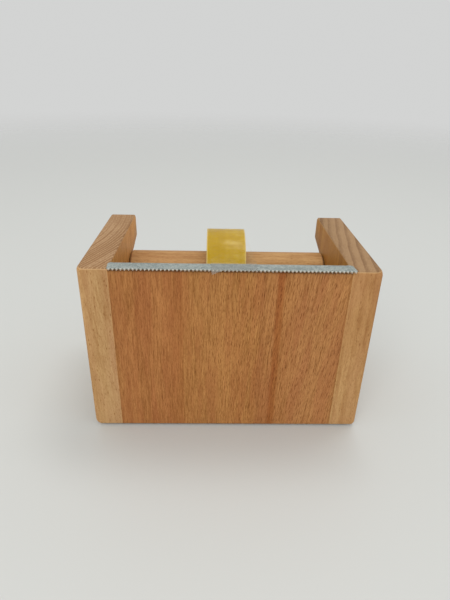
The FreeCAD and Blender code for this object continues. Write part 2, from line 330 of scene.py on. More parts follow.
def beechMaterial(wood):
    material, tree, shader = newMaterial(wood["name"])
    space = beechSpace(tree, wood)
    around, outward, along = axes(tree, space)
    late = lateWood(tree, wood, space, around, outward)
    streaks = softNoise(tree, space, wood["streakCell"], detail=3.0, roughness=0.62)
    fibres = softNoise(tree, space, wood["fibreCell"], detail=3.0, roughness=0.7)
    pores = softNoise(tree, space, wood["poreCell"], detail=1.0)
    blotch = softNoise(tree, space, wood["blotchCell"], offset=7.0)

    # end grain shows only in a thin skin at the two ends of the grain
    low, high = wood["ends"]
    half = (high - low) / 2
    inner, outer = wood["endSkin"]
    fromMiddle = sums(tree, "ABSOLUTE", sums(tree, "SUBTRACT", along, (low + high) / 2))
    endGrain = ramp(tree, fromMiddle, half - inner * mm, half - outer * mm)
    side = sums(tree, "SUBTRACT", 1.0, endGrain)

    tone = sums(tree, "MULTIPLY_ADD", sums(tree, "MULTIPLY", late, side), wood["ringShade"], wood["tone"])
    tone = centred(tree, streaks, wood["streakShade"], tone)
    tone = centred(tree, fibres, wood["fibreShade"], tone)
    tone = centred(tree, blotch, wood["blotchShade"], tone)
    colour = shaded(tree, tone, wood["pale"], wood["deep"])
    blushNoise = softNoise(tree, space, wood["blushCell"], detail=3.0, offset=3.0)
    blush = sums(tree, "MULTIPLY", ramp(tree, blushNoise, *wood["blushFrom"]), wood["blushShare"])
    colour = mixColour(tree, blush, colour, wood["blush"])
    if "bands" in wood:
        colour = mixColour(tree, 1.0, colour, boardBands(tree, wood), "MULTIPLY")
    if "foot" in wood:
        # towards its foot the colour turns paler and bluer
        top, bottom, tint = wood["foot"]
        tinted = mixColour(tree, 1.0, colour, tint, "MULTIPLY")
        colour = mixColour(tree, ramp(tree, along, bottom * mm, top * mm, 1.0, 0.0), colour, tinted)

    # the sawn ends: rings stand out, and the cut fibres look rough
    grit = softNoise(tree, space, wood["gritCell"], detail=3.0, roughness=0.65, offset=5.0)
    endTone = sums(tree, "MULTIPLY_ADD", late, wood["endRingShade"], wood["endTone"])
    endTone = centred(tree, grit, wood["gritShade"], endTone)
    endTone = centred(tree, blotch, wood["endBlotch"], endTone)
    endColour = shaded(tree, endTone, wood["endPale"], wood["endDeep"])
    colour = mixColour(tree, sums(tree, "MULTIPLY", endGrain, wood["endShare"]), colour, endColour)
    if "edgePaleAndLit" in wood:
        # the sanded edge between the two is paler: partly the wood's own sanding, partly a painted highlight
        # where the rounded edge catches light from above
        rise = ramp(tree, endGrain, *wood["edgeRise"])
        edge = sums(tree, "MULTIPLY", rise, ramp(tree, endGrain, *wood["edgeFall"], 1.0, 0.0))
        colour = mixColour(tree, sums(tree, "MULTIPLY", edge, wood["edgeShare"]), colour, wood["edgePaleAndLit"])

    flecks = rayFlecks(tree, space, *wood["flecks"])
    fineFlecks = rayFlecks(tree, space, *wood["fineFlecks"])
    marks = sums(tree, "MULTIPLY_ADD", fineFlecks, wood["fineShare"], flecks)
    marks = sums(tree, "MINIMUM", sums(tree, "MULTIPLY", marks, wood["fleckShade"]), wood["fleckMost"])
    marks = sums(tree, "MULTIPLY", marks, side)
    if "fleckFade" in wood:
        faint, clear, least = wood["fleckFade"]
        marks = sums(tree, "MULTIPLY", marks, ramp(tree, around, faint * mm, clear * mm, least, 1.0))
    colour = mixColour(tree, marks, colour, wood["fleck"], "MULTIPLY")
    poreMarks = ramp(tree, pores, *wood["poreFrom"])
    poreShade = sums(tree, "MULTIPLY", poreMarks, wood["poreShade"])
    colour = mixColour(tree, poreShade, colour, wood["fleck"], "MULTIPLY")

    if "underStripShade" in wood:
        # painted shade: the wood is darkened just under the steel's overhang, where the strip's shadow falls
        dark, near, far = wood["underStripShade"]
        below = sums(tree, "SUBTRACT", high, along)
        underStripShade = ramp(tree, below, near * mm, far * mm, dark, 1.0)
        grey = addNode(tree, "CombineColor", {0: underStripShade, 1: underStripShade, 2: underStripShade}).outputs[0]
        colour = mixColour(tree, 1.0, colour, grey, "MULTIPLY")

    relief = wood["relief"]
    fleckHeight = sums(tree, "MULTIPLY", marks, relief["flecks"])
    height = sums(tree, "MULTIPLY_ADD", fibres, relief["fibres"], fleckHeight)
    height = sums(tree, "MULTIPLY_ADD", poreMarks, relief["pores"], height)
    height = sums(tree, "MULTIPLY_ADD", sums(tree, "MULTIPLY", grit, endGrain), relief["grit"], height)
    addBump(tree, shader, relief["strength"], relief["depth"], height)
    matt = centred(tree, fibres, wood["mattSpread"], wood["roughness"])
    feed(tree, shader.inputs["Base Color"], colour)
    feed(tree, shader.inputs["Roughness"], sums(tree, "MULTIPLY_ADD", endGrain, wood["endMatt"], matt))
    shader.inputs["Specular IOR Level"].default_value = wood["shine"]
    return material


def endsOf(node, axis):
    low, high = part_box(node)
    return low[axis], high[axis]


# Lengths are in millimetres, but ends and bandEnds are the frame's own, in metres. A cell is the size of a
# noise's patches around, outward and along; driftCell lies by the object's own axes. flecks and fineFlecks
# are a cell, the size of a fleck in it, and the share of cells that have one. bands are places and tints.

beechShared = {
    "wanderCell": (14, 14, 60), "ringWander": 2.0,
    "lateFrom": (0.3, 0.85), "lateTo": (0.9, 1.0), "ringLuck": (0.8, 0.4),
    "lean": 0.0, "leanGrowth": 0.0, "leanMost": 0.05, "tilt": 0.0, "tone": 0.35,
    "streakCell": (2.6, 9, 110), "streakShade": 1.3, "fibreCell": (0.8, 1.2, 9.0), "fibreShade": 1.0,
    "blotchCell": (15, 15, 40), "blotchShade": 0.5,
    "blushCell": (4, 9, 40), "blushFrom": (0.40, 0.66), "blushShare": 0.35, "driftCell": (9, 20, 14),
    "fleck": (0.50, 0.36, 0.22), "fleckMost": 0.9, "fineShare": 0.7,
    "flecks": ((1.5, 1.5, 2.8), (0.22, 0.3, 0.75), 0.8),
    "fineFlecks": ((0.8, 0.8, 1.6), (0.15, 0.2, 0.5), 0.8),
    "poreCell": (0.16, 0.16, 1.4), "poreFrom": (0.52, 0.74), "poreShade": 0.5,
    "endSkin": (0.9, 0.15), "endShare": 0.95, "endTone": 0.15, "endBlotch": 0.5, "endMatt": 0.2,
    "gritCell": (0.45, 0.45, 3), "gritShade": 1.4,
    "edgeRise": (0.0, 0.3), "edgeFall": (0.4, 0.9), "edgeShare": 0.45,
    "roughness": 0.55, "mattSpread": 0.18, "shine": 0.15,
    "relief": {"strength": 0.5, "depth": 0.12, "fibres": 0.6, "flecks": -0.5, "pores": -0.5, "grit": 1.5},
}

panelBeech = {
    **beechShared, "name": "beechPanel",
    "turn": (0, 0, 90), "heart": (-60, 8), "toBoard": (97.5, 0), "ringWidth": 5.5,
    "ends": endsOf("front_panel", 2), "lean": -0.045, "leanGrowth": -2.0, "leanMost": 0.0,
    "pale": (0.50, 0.233, 0.077), "deep": (0.232, 0.085, 0.017), "blush": (0.375, 0.135, 0.046),
    "endPale": (0.38, 0.21, 0.09), "endDeep": (0.2, 0.09, 0.03), "fleck": (0.40, 0.27, 0.12),
    "ringShade": 0.10, "endRingShade": 0.4, "fleckShade": 1.0, "streakShade": 0.5, "fibreShade": 2.0,
    "blushShare": 0.45, "streakCell": (1.0, 9, 110), "fibreCell": (0.42, 1.2, 9.0),
    "flecks": ((1.3, 70.0, 4.8), (0.17, 60.0, 1.75), 0.85),
    "fineFlecks": ((0.75, 70.0, 3.2), (0.12, 60.0, 1.2), 0.6),
    # the panel's last entry is painted shade under the strip's overhang: its darkest share, and where it
    # starts and ends below the top
    "fleckFade": (-45, 0, 0.4), "underStripShade": (0.5, 0.8, 1.7),
    "bandEnds": (panelLow.x, panelHigh.x), "bandDrift": 1.2,
    "bands": [
        (-49.8, (0.80, 0.78, 0.74)), (-49.0, (0.95, 0.92, 0.88)), (-41, (0.97, 0.90, 0.86)),
        (-30, (0.97, 0.89, 0.86)), (-20.6, (0.92, 0.82, 0.74)), (-19.4, (1.01, 1.0, 0.92)),
        (-8, (1.0, 1.0, 0.94)), (6, (1.06, 1.07, 1.0)), (12.6, (1.06, 1.05, 1.0)),
        (13.4, (0.96, 0.93, 0.9)), (19, (0.99, 0.95, 0.95)), (20, (0.82, 0.64, 0.52)),
        (22, (0.84, 0.68, 0.56)), (23, (1.0, 0.97, 0.96)), (34, (1.05, 1.06, 1.14)),
        (48.9, (1.04, 1.05, 1.1)), (49.8, (0.82, 0.80, 0.78)),
    ],
}
leftBeech = {
    **beechShared, "name": "beechLeft",
    "turn": (0, 0, 0), "heart": (-156, 20), "toBoard": (100, -20), "ringWidth": 1.45, "ringWander": 1.4,
    "lateFrom": (0.0, 0.3), "ringFade": (-6, 26), "ringLeft": 0.3, "fadedTone": 0.55,
    "ends": endsOf("left_cheek", 2), "lean": 0.02, "tilt": 0.04,
    "pale": (0.565, 0.352, 0.163), "deep": (0.345, 0.170, 0.058), "blush": (0.475, 0.25, 0.125),
    # the edge colour is paler sanded wood together with a painted highlight on the rounded edge
    "endPale": (0.51, 0.335, 0.185), "endDeep": (0.275, 0.146, 0.065), "edgePaleAndLit": (0.72, 0.47, 0.24),
    "ringShade": 0.06, "endRingShade": 0.85, "gritShade": 2.0, "fibreShade": 1.5,
    "fleckShade": 1.0, "fleck": (0.60, 0.46, 0.30), "flecks": ((1.2, 1.2, 2.6), (0.2, 0.25, 0.75), 0.85),
    "bandEnds": (leftCheekLow.x, leftCheekHigh.x), "bandDrift": 0.0,
    "bands": [
        (-62.5, (1.02, 1.0, 0.92)), (-54, (1.0, 1.0, 0.96)), (-49.9, (1.02, 0.99, 1.0)),
        # this last tint covers only the inner face: painted warm bounce light from the wood around it
        (-49.84, (1.20, 0.98, 0.60)),
    ],
}
rightBeech = {
    **beechShared, "name": "beechRight",
    "turn": (0, 0, 180), "heart": (-806, 135), "toBoard": (750, -135), "ringWidth": 4.1, "ringWander": 1.6,
    "ends": endsOf("right_cheek", 2),
    "pale": (0.52, 0.285, 0.110), "deep": (0.32, 0.138, 0.040), "blush": (0.46, 0.22, 0.095),
    # the edge colour is paler sanded wood together with a painted highlight on the rounded edge
    "endPale": (0.375, 0.235, 0.122), "endDeep": (0.185, 0.098, 0.045), "edgePaleAndLit": (0.70, 0.46, 0.22),
    "ringShade": 0.25, "endRingShade": 0.7, "gritShade": 2.0, "fleckShade": 0.6, "fibreShade": 1.3,
    "bandEnds": (-leftCheekHigh.x, -leftCheekLow.x), "bandDrift": 0.0,
    "bands": [
        # the first tint covers only the inner face: painted shade and warm bounce light inside the bay
        (49.84, (0.92, 0.83, 0.44)), (49.9, (1.0, 1.0, 1.0)), (54, (1.0, 1.0, 1.0)),
        (62.5, (0.98, 0.97, 0.96)),
    ],
    "foot": (62, 12, (1.11, 1.20, 1.29)),  # from the first height down to the second the tint comes in
}
rollerBeech = {
    **beechShared, "name": "beechRoller",
    "turn": (0, -90, 0), "heart": (-30, 40), "toBoard": (-29, -26), "ringWidth": 2.6,
    "ends": endsOf("roller", 0), "streakShade": 1.5,
    "pale": (0.54, 0.315, 0.125), "deep": (0.30, 0.135, 0.042), "blush": (0.46, 0.23, 0.095),
    "endPale": (0.42, 0.25, 0.12), "endDeep": (0.25, 0.12, 0.05),
    "ringShade": 0.4, "endRingShade": 0.5, "fleckShade": 0.5, "fibreShade": 1.3,
}
axleBeech = {
    **rollerBeech, "name": "beechAxle", "heart": (-52, -20), "toBoard": (-7, 34), "ends": endsOf("axle", 0),
    "pale": (0.62, 0.41, 0.20), "deep": (0.42, 0.23, 0.09),
}
baseBeech = {
    **beechShared, "name": "beechBase",
    "turn": (0, -90, 0), "heart": (-10, 90), "toBoard": (0, -88), "ringWidth": 3.4,
    "ends": endsOf("base_block", 0),
    "pale": (0.54, 0.33, 0.145), "deep": (0.32, 0.155, 0.052), "blush": (0.46, 0.24, 0.11),
    "endPale": (0.42, 0.25, 0.12), "endDeep": (0.25, 0.12, 0.05),
    "ringShade": 0.35, "endRingShade": 0.5, "fleckShade": 0.6,
}
dowelBeech = {**axleBeech, "name": "beechDowel", "ends": (-1, 1)}  # ends far off: no end grain is seen

for wood, names in (
    (panelBeech, ["front_panel"]), (rollerBeech, ["roller"]),
    (axleBeech, ["axle"]), (baseBeech, ["base_block"]),
    (dowelBeech, ["left_base_dowels", "right_base_dowels"]),
):
    beech = beechMaterial(wood)
    for name in names:
        nodes[name].material_slots[0].material = beech


# The cheeks' outer edges and top corners are sanded rounder than the rest.

sanded = {
    "left": (2.1, 4.2), "right": (1.4, 3.4),  # each cheek's rounding at the front and at the bottom
    "corner": 3.2,  # the same at the top corners
    "soft": 6.0, "spare": 1.6,  # the larger block's rounding, and how far it stands out
    "steps": 6, "smooth": 25,
}


def sandedCheek(node, radii, name, wood, slot):
    frontRadius, bottomRadius = radii
    low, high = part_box(node)
    outerX = low.x if low.x < 0 else high.x
    steps = sanded["steps"]

    def isOuter(at):
        return abs(at.x - outerX) < touch

    def isBottom(a, b):
        return isOuter(a) and isOuter(b) and max(a.z, b.z) < low.z + touch

    def isFront(a, b):
        return isOuter(a) and isOuter(b) and max(a.y, b.y) < low.y + touch

    def isTopCorner(at):
        return at.z > high.z - touch and (isOuter(at) or at.y > high.y - touch)

    block = makeBlock(name + "Block", low, high)
    rounded(block, "edges", isBottom, bottomRadius, steps)
    rounded(block, "edges", isFront, frontRadius, steps)
    corners = makeBlock(name + "Corners", low, high)
    rounded(corners, "points", isTopCorner, sanded["corner"], steps)
    # a larger block with wide roundings takes only the corners where three faces meet
    spare = Vector((sanded["spare"],) * 3) * mm
    softLow, softHigh = low - spare, high + spare
    softLow.z -= sanded["soft"] * mm
    if outerX < 0:
        softHigh.x += sanded["soft"] * mm
    else:
        softLow.x -= sanded["soft"] * mm
    soft = makeBlock(name + "Soft", softLow, softHigh)
    rounded(soft, "edges", lambda a, b: True, sanded["soft"], 2 * steps)
    # the CAD's cheek, with its loose triangles joined, keeps what lies inside all three
    cheek = copied(nodes[node], name)
    bpy.ops.object.mode_set(mode="EDIT")
    bpy.ops.mesh.select_all(action="SELECT")
    bpy.ops.mesh.remove_doubles(threshold=weld)
    bpy.ops.object.mode_set(mode="OBJECT")
    for cutter in (block, corners, soft):
        cut = cheek.modifiers.new("sanding", "BOOLEAN")
        cut.operation = "INTERSECT"
        cut.solver = "EXACT"
        cut.object = cutter
        bpy.ops.object.modifier_apply(modifier="sanding")
        bpy.data.objects.remove(cutter)
    cleaned(cheek, sanded["smooth"])
    dress(cheek, beechMaterial(wood), "dispenser_body", slot, node)


sandedCheek("left_cheek", sanded["left"], "leftCheek", leftBeech, "beech_left")
sandedCheek("right_cheek", sanded["right"], "rightCheek", rightBeech, "beech_right")
print("beech made")


# Galvanised strip: soft cloudy spangle, brighter where the teeth were cut.

stripSteel = {
    "bright": (0.55, 0.59, 0.55), "dull": (0.295, 0.345, 0.33),
    "cut": (0.86, 0.84, 0.77), "toothZone": (0.3, 1.3),
    "grainScale": 900.0,  # spangle grains to a metre
    "cloudCell": (2.6, 2.0, 2.0), "speckCell": (0.45, 0.45, 0.45),
    "tone": 0.5, "grainShade": 0.65, "cloudShade": 0.4, "speckShade": 2.0,
    "roughness": 0.42, "roughSpread": 0.3, "bump": 0.3, "bumpDepth": 0.03,
}


def galvanisedMaterial(steel):
    material, tree, shader = newMaterial("galvanised")
    place = objectPlace(tree)
    grains = addNode(tree, "TexVoronoi", {"Vector": place, "Scale": steel["grainScale"], "Randomness": 1.0})
    spangle = addNode(tree, "SeparateColor", {0: grains.outputs["Color"]}).outputs[0]
    cloud = softNoise(tree, place, steel["cloudCell"], detail=3.0, roughness=0.6)
    speck = softNoise(tree, place, steel["speckCell"])
    tone = centred(tree, spangle, steel["grainShade"], steel["tone"])
    tone = centred(tree, cloud, steel["cloudShade"], tone)
    tone = centred(tree, speck, steel["speckShade"], tone)
    colour = shaded(tree, tone, steel["dull"], steel["bright"])
    tips, behind = steel["toothZone"]
    fromTips = sums(tree, "SUBTRACT", axes(tree, place)["Y"], stripLow.y)
    cut = ramp(tree, fromTips, tips * mm, behind * mm, 1.0, 0.0)
    feed(tree, shader.inputs["Base Color"], mixColour(tree, cut, colour, steel["cut"]))
    feed(tree, shader.inputs["Roughness"], centred(tree, cloud, steel["roughSpread"], steel["roughness"]))
    addBump(tree, shader, steel["bump"], steel["bumpDepth"], speck)
    shader.inputs["Metallic"].default_value = 1.0
    return material


nodes["cutter_strip"].material_slots[0].material = galvanisedMaterial(stripSteel)
print("strip made")


# Rubber sheet under the base: fine matt grain with a little dust.

sheetRubber = {
    "dark": (0.018, 0.018, 0.018), "dusty": (0.045, 0.043, 0.040),
    "dustCell": (6, 6, 6), "dustFrom": (0.4, 0.8),
    "grainCell": (0.35, 0.35, 0.35), "roughness": 0.75, "roughSpread": 0.2, "bump": 0.5, "bumpDepth": 0.05,
}


def rubberMaterial(rubber):
    material, tree, shader = newMaterial("rubberSheet")
    place = objectPlace(tree)
    dustNoise = softNoise(tree, place, rubber["dustCell"], detail=4.0, roughness=0.65)
    dust = ramp(tree, dustNoise, *rubber["dustFrom"])
    grain = softNoise(tree, place, rubber["grainCell"], detail=1.0)
    feed(tree, shader.inputs["Base Color"], mixColour(tree, dust, rubber["dark"], rubber["dusty"]))
    feed(tree, shader.inputs["Roughness"], centred(tree, grain, rubber["roughSpread"], rubber["roughness"]))
    addBump(tree, shader, rubber["bump"], rubber["bumpDepth"], grain)
    return material


nodes["anti_slip_sheet"].material_slots[0].material = rubberMaterial(sheetRubber)


# Tape roll: a wound ring whose layers stand a little unevenly at its sides, and a moulded core.

winding = {
    "sides": 180, "layers": 22, "unevenness": 0.10, "rim": 0.12, "rimSteps": 2, "seed": 4, "smooth": 40,
    # outer face: cloudy colour in faint bands across the tape's width, and a paler line along each edge
    "face": (0.48, 0.302, 0.008), "faceDeep": (0.40, 0.236, 0.001), "faceFrom": (0.2, 0.9),
    "cloudCell": (9, 7, 7), "bandWidth": 1.3, "bandShade": 0.8,
    "edge": (0.62, 0.45, 0.14), "edgeZone": (0.8, 0.25), "edgeShare": 0.8,
    # patches where air got under the top layer
    "haze": (0.65, 0.475, 0.12), "hazeCell": (7, 3.5, 3.5), "hazeFrom": (0.38, 0.75), "hazeShare": 0.45,
    "hazeAcross": (-3, 0), "hazeLeast": 0.1,
    # sides: the layers' edges
    "sideLight": (0.54, 0.36, 0.10), "sideDark": (0.29, 0.16, 0.022), "sideFrom": (0.32, 0.68),
    "layerWidth": 0.9, "fanCell": (5, 5, 5), "fanShade": 0.5, "sideZone": (0.35, 0.1),
    "bump": 0.35, "bumpDepth": 0.04, "layerRelief": 1.0, "bandRelief": 0.4,
    "roughness": 0.34, "sideRough": 0.2, "shine": 0.15, "coat": 0.06, "coatRoughness": 0.2,
}
core = {
    "sides": 128, "rim": 0.25, "rimSteps": 3, "wall": 1.6, "gap": 0.01, "smooth": 40,
    "light": (0.66, 0.63, 0.55), "shade": (0.55, 0.51, 0.43), "shadeFrom": (0.3, 0.75),
    "layerWidth": 0.3, "layerShade": 0.6, "mottleCell": (1.5, 1.5, 1.5),
    "roughness": 0.5, "roughSpread": 0.2, "bump": 0.3, "bumpDepth": 0.03,
}
boreRadius = coreRadius - core["wall"] * mm
coreOuter = coreRadius - core["gap"] * mm


def roundBar(name, radius, length, sides):
    clearSelection()
    bpy.ops.mesh.primitive_cylinder_add(
        vertices=sides, radius=radius, depth=length, location=rollMiddle, rotation=(0, math.radians(90), 0))
    return placed(name)


def isCap(centre, normal):
    return abs(normal.x) > facing


def roundRims(piece, radii, width, steps):
    def offRim(at, radius):
        return abs(math.hypot(at.y - rollMiddle.y, at.z - rollMiddle.z) - radius)

    def onRim(a, b):
        near = any(max(offRim(a, radius), offRim(b, radius)) < rowReach for radius in radii)
        return near and abs(a.x - b.x) < touch

    rounded(piece, "edges", onRim, width, steps)


def makeWinding():
    piece = roundBar("woundRoll", rollRadius, rollWidth, winding["sides"])
    roundRims(piece, [rollRadius], winding["rim"], winding["rimSteps"])
    # each layer of tape stands in from the roll's side by its own small step
    pick(piece, "faces", isCap)
    luck = random.Random(winding["seed"])
    step = (rollRadius - winding["rim"] * mm - coreRadius) / winding["layers"]
    stood = 0.0
    for layer in range(winding["layers"]):
        target = -luck.uniform(0, 1) * winding["unevenness"] * mm
        bpy.ops.mesh.inset(thickness=step, depth=target - stood)
        stood = target
    bpy.ops.mesh.bridge_edge_loops()  # the two discs left over go, and a wall joins their rims
    return cleaned(piece, winding["smooth"])


def makeCore():
    piece = roundBar("rollCore", coreOuter, coreHigh.x - coreLow.x, core["sides"])
    pick(piece, "faces", isCap)
    bpy.ops.mesh.inset(thickness=coreRadius - boreRadius)
    bpy.ops.mesh.bridge_edge_loops()
    bpy.ops.object.mode_set(mode="OBJECT")
    roundRims(piece, [boreRadius, coreOuter], core["rim"], core["rimSteps"])
    return cleaned(piece, core["smooth"])


def radialPlace(tree):
    # the place itself, how far it is across the roll, and how far from the roll's axis
    place = objectPlace(tree)
    x, y, z = axes(tree, place)
    ahead = sums(tree, "SUBTRACT", y, rollMiddle.y)
    up = sums(tree, "SUBTRACT", z, rollMiddle.z)
    radius = lengthOf(tree, addNode(tree, "CombineXYZ", {0: ahead, 1: up}).outputs[0])
    return place, x, radius


def windingMaterial():
    material, tree, shader = newMaterial("woundTape")
    place, x, radius = radialPlace(tree)
    cloud = softNoise(tree, place, winding["cloudCell"], detail=3.0, roughness=0.6)
    bands = lineNoise(tree, x, winding["bandWidth"])
    faceTone = ramp(tree, centred(tree, bands, winding["bandShade"], cloud), *winding["faceFrom"])
    face = mixColour(tree, faceTone, winding["face"], winding["faceDeep"])
    inner, outer = winding["edgeZone"]
    fromMiddle = sums(tree, "ABSOLUTE", sums(tree, "SUBTRACT", x, rollMiddle.x))
    edge = ramp(tree, fromMiddle, rollWidth / 2 - inner * mm, rollWidth / 2 - outer * mm)
    face = mixColour(tree, sums(tree, "MULTIPLY", edge, winding["edgeShare"]), face, winding["edge"])

    hazeNoise = softNoise(tree, place, winding["hazeCell"], detail=3.0, roughness=0.55, offset=4.0)
    left, right = winding["hazeAcross"]
    across = ramp(tree, x, left * mm, right * mm, winding["hazeLeast"], 1.0)
    haze = sums(tree, "MULTIPLY", ramp(tree, hazeNoise, *winding["hazeFrom"]), across)
    face = mixColour(tree, sums(tree, "MULTIPLY", haze, winding["hazeShare"]), face, winding["haze"])

    layers = lineNoise(tree, radius, winding["layerWidth"], detail=5.0, roughness=0.8)
    fan = softNoise(tree, place, winding["fanCell"], offset=2.0)
    sideTone = ramp(tree, centred(tree, fan, winding["fanShade"], layers), *winding["sideFrom"])
    side = mixColour(tree, sideTone, winding["sideDark"], winding["sideLight"])
    inner, outer = winding["sideZone"]
    onSide = ramp(tree, radius, rollRadius - inner * mm, rollRadius - outer * mm, 1.0, 0.0)
    feed(tree, shader.inputs["Base Color"], mixColour(tree, onSide, face, side))
    roughness = sums(tree, "MULTIPLY_ADD", onSide, winding["sideRough"], winding["roughness"])
    feed(tree, shader.inputs["Roughness"], roughness)
    bandHeight = sums(tree, "MULTIPLY", bands, winding["bandRelief"])
    sideHeight = sums(tree, "MULTIPLY", layers, onSide)
    height = sums(tree, "MULTIPLY_ADD", sideHeight, winding["layerRelief"], bandHeight)
    addBump(tree, shader, winding["bump"], winding["bumpDepth"], height)
    shader.inputs["Specular IOR Level"].default_value = winding["shine"]
    shader.inputs["Coat Weight"].default_value = winding["coat"]
    shader.inputs["Coat Roughness"].default_value = winding["coatRoughness"]
    return material


def coreMaterial():
    material, tree, shader = newMaterial("paleCore")
    place, _, radius = radialPlace(tree)
    layers = lineNoise(tree, radius, core["layerWidth"])
    mottle = softNoise(tree, place, core["mottleCell"], detail=4.0, roughness=0.6)
    tone = ramp(tree, centred(tree, layers, core["layerShade"], mottle), *core["shadeFrom"])
    feed(tree, shader.inputs["Base Color"], mixColour(tree, tone, core["light"], core["shade"]))
    feed(tree, shader.inputs["Roughness"], centred(tree, mottle, core["roughSpread"], core["roughness"]))
    addBump(tree, shader, core["bump"], core["bumpDepth"], mottle)
    return material


dress(makeWinding(), windingMaterial(), "tape_roll", "wound_tape", "tape_winding")
dress(makeCore(), coreMaterial(), "tape_roll", "core_plastic", "tape_core")
print("roll made")


# Free end: clear film from the top of the roll to the strip, torn along the teeth, with a small loose flap.

film = {
    "thickness": 0.05, "lift": 0.28, "gap": 0.10,  # lift above the roll, gap above the strip
    "drift": 2.3, "ahead": 0.25,  # drift sideways, and how far it ends past the teeth
    "wrapAngle": 13.0, "wrapSteps": 8, "columns": 24, "spanSteps": 6, "stripSteps": 4, "smooth": 30,
    "tearDepth": 0.5, "flapColumns": 6, "flapTurn": 27.0, "flapDrop": 28.0,
    "tint": (0.60, 0.50, 0.22), "thin": 0.03,  # colour and cover where it hangs free
    "stuckTint": (0.36, 0.37, 0.34), "stuck": 0.22,  # the same where it sticks to the steel
    "stuckZone": (0.6, 0.4),  # before and behind the strip's rear edge
    "smearCell": (1.6, 2.4, 2), "smearCover": 0.12, "roughness": 0.22, "roughSpread": 0.2,
    "bump": 0.2, "bumpDepth": 0.05, "refraction": 1.47,
}
drift = film["drift"] * mm
filmRadius = rollRadius + film["lift"] * mm
filmOnStrip = stripHigh.z + film["gap"] * mm
tearY = stripLow.y - film["ahead"] * mm


def inRow(y, z):
    # the test for edges whose two ends lie on one row of the film
    return lambda a, b: all(math.hypot(p.y - y, p.z - z) < rowReach for p in (a, b))


def makeFilm():
    stripRear = stripHigh.y
    # the film leaves the roll where a line from the strip's rear edge touches it
    ahead, above = stripRear - rollMiddle.y, filmOnStrip - rollMiddle.z
    tangent = math.atan2(above, ahead) - math.acos(filmRadius / math.hypot(ahead, above))
    leaveY = rollMiddle.y + filmRadius * math.cos(tangent)
    leaveZ = rollMiddle.z + filmRadius * math.sin(tangent)
    steps = film["spanSteps"]
    stepY, stepZ = (stripRear - leaveY) / steps, (filmOnStrip - leaveZ) / steps
    clearSelection()
    bpy.ops.mesh.primitive_grid_add(
        x_subdivisions=film["columns"], y_subdivisions=1, size=1,
        location=(rollMiddle.x, leaveY + stepY / 2, leaveZ + stepZ / 2),
        rotation=(-math.atan2(stepZ, -stepY), 0, 0))
    bpy.context.object.scale = (rollWidth, math.hypot(stepY, stepZ), 1)
    piece = placed("clearFilm")
    # on towards the strip, drifting sideways as it goes
    pick(piece, "edges", inRow(leaveY + stepY, leaveZ + stepZ))
    for step in range(steps - 1):
        extrude(drift / (steps - 1), stepY, stepZ)
    bpy.ops.object.mode_set(mode="OBJECT")
    # back round the roll
    pick(piece, "edges", inRow(leaveY, leaveZ))
    bpy.ops.mesh.spin(
        steps=film["wrapSteps"], angle=math.radians(film["wrapAngle"]), center=rollMiddle, axis=(1, 0, 0))
    bpy.ops.object.mode_set(mode="OBJECT")
    # forward over the steel to the tear
    pick(piece, "edges", inRow(stripRear, filmOnStrip))
    for step in range(film["stripSteps"]):
        extrude(0, (tearY - stripRear) / film["stripSteps"], 0)
    bpy.ops.object.mode_set(mode="OBJECT")
    return piece


def tearEdge(piece):
    columnWidth = rollWidth / film["columns"]
    left = windingLow.x + drift
    flapRight = left + film["flapColumns"] * columnWidth
    # the flap: a small loose piece, turned about its right end and bent down
    pick(piece, "edges", lambda a, b: inRow(tearY, filmOnStrip)(a, b) and max(a.x, b.x) < flapRight + touch)
    hinge = (flapRight, tearY, filmOnStrip)
    extrude(0, 0, 0)
    bpy.ops.transform.rotate(value=math.radians(-film["flapTurn"]), orient_axis="Z", center_override=hinge)
    bpy.ops.transform.rotate(value=math.radians(-film["flapDrop"]), orient_axis="X", center_override=hinge)

    # right of the flap, every second point of the torn edge goes back between the teeth
    def isBack(at):
        column = round((at.x - left) / columnWidth)
        onEdge = abs(at.y - tearY) < touch and abs(at.z - filmOnStrip) < touch
        return onEdge and column % 2 == 1 and column > film["flapColumns"]

    pick(piece, "points", isBack)
    bpy.ops.transform.translate(value=(0, film["tearDepth"] * mm, 0))
    bpy.ops.object.mode_set(mode="OBJECT")


def thicken(piece):
    cleaned(piece, film["smooth"])
    solid = piece.modifiers.new("thickness", "SOLIDIFY")
    solid.thickness = film["thickness"] * mm
    solid.offset = 0
    bpy.ops.object.modifier_apply(modifier="thickness")


def filmMaterial():
    material, tree, shader = newMaterial("clearFilm")
    place = objectPlace(tree)
    before, behind = film["stuckZone"]
    rear = stripHigh.y
    stuck = ramp(tree, axes(tree, place)["Y"], rear - before * mm, rear + behind * mm, 1.0, 0.0)
    smear = softNoise(tree, place, film["smearCell"], detail=3.0, roughness=0.6)
    cover = sums(tree, "MULTIPLY_ADD", stuck, film["stuck"] - film["thin"], film["thin"])
    feed(tree, shader.inputs["Base Color"], mixColour(tree, stuck, film["tint"], film["stuckTint"]))
    feed(tree, shader.inputs["Alpha"], centred(tree, smear, film["smearCover"], cover))
    feed(tree, shader.inputs["Roughness"], centred(tree, smear, film["roughSpread"], film["roughness"]))
    addBump(tree, shader, film["bump"], film["bumpDepth"], smear)
    shader.inputs["IOR"].default_value = film["refraction"]
    return material


clearFilm = makeFilm()
tearEdge(clearFilm)
thicken(clearFilm)
dress(clearFilm, filmMaterial(), "tape_tail", "clear_tape", "tape_tail")
print("film made")


# Screws behind the strip: domed heads with a cross recess, modelled once and copied.

screw = {
    "radius": 2.1, "height": 1.3, "sides": 48, "dome": 0.95, "domeSteps": 5, "smooth": 35,
    "crossWidth": 0.42, "crossDepth": 0.75, "crossTaper": 0.55,
    "shank": 1.05, "shankLength": 2.8, "tip": 1.4,
    "light": (0.62, 0.61, 0.57), "dark": (0.40, 0.39, 0.36),
    "cloudCell": (0.8, 0.8, 0.8), "lightFrom": (0.3, 0.7),
    "roughness": 0.33, "roughSpread": 0.3,
}


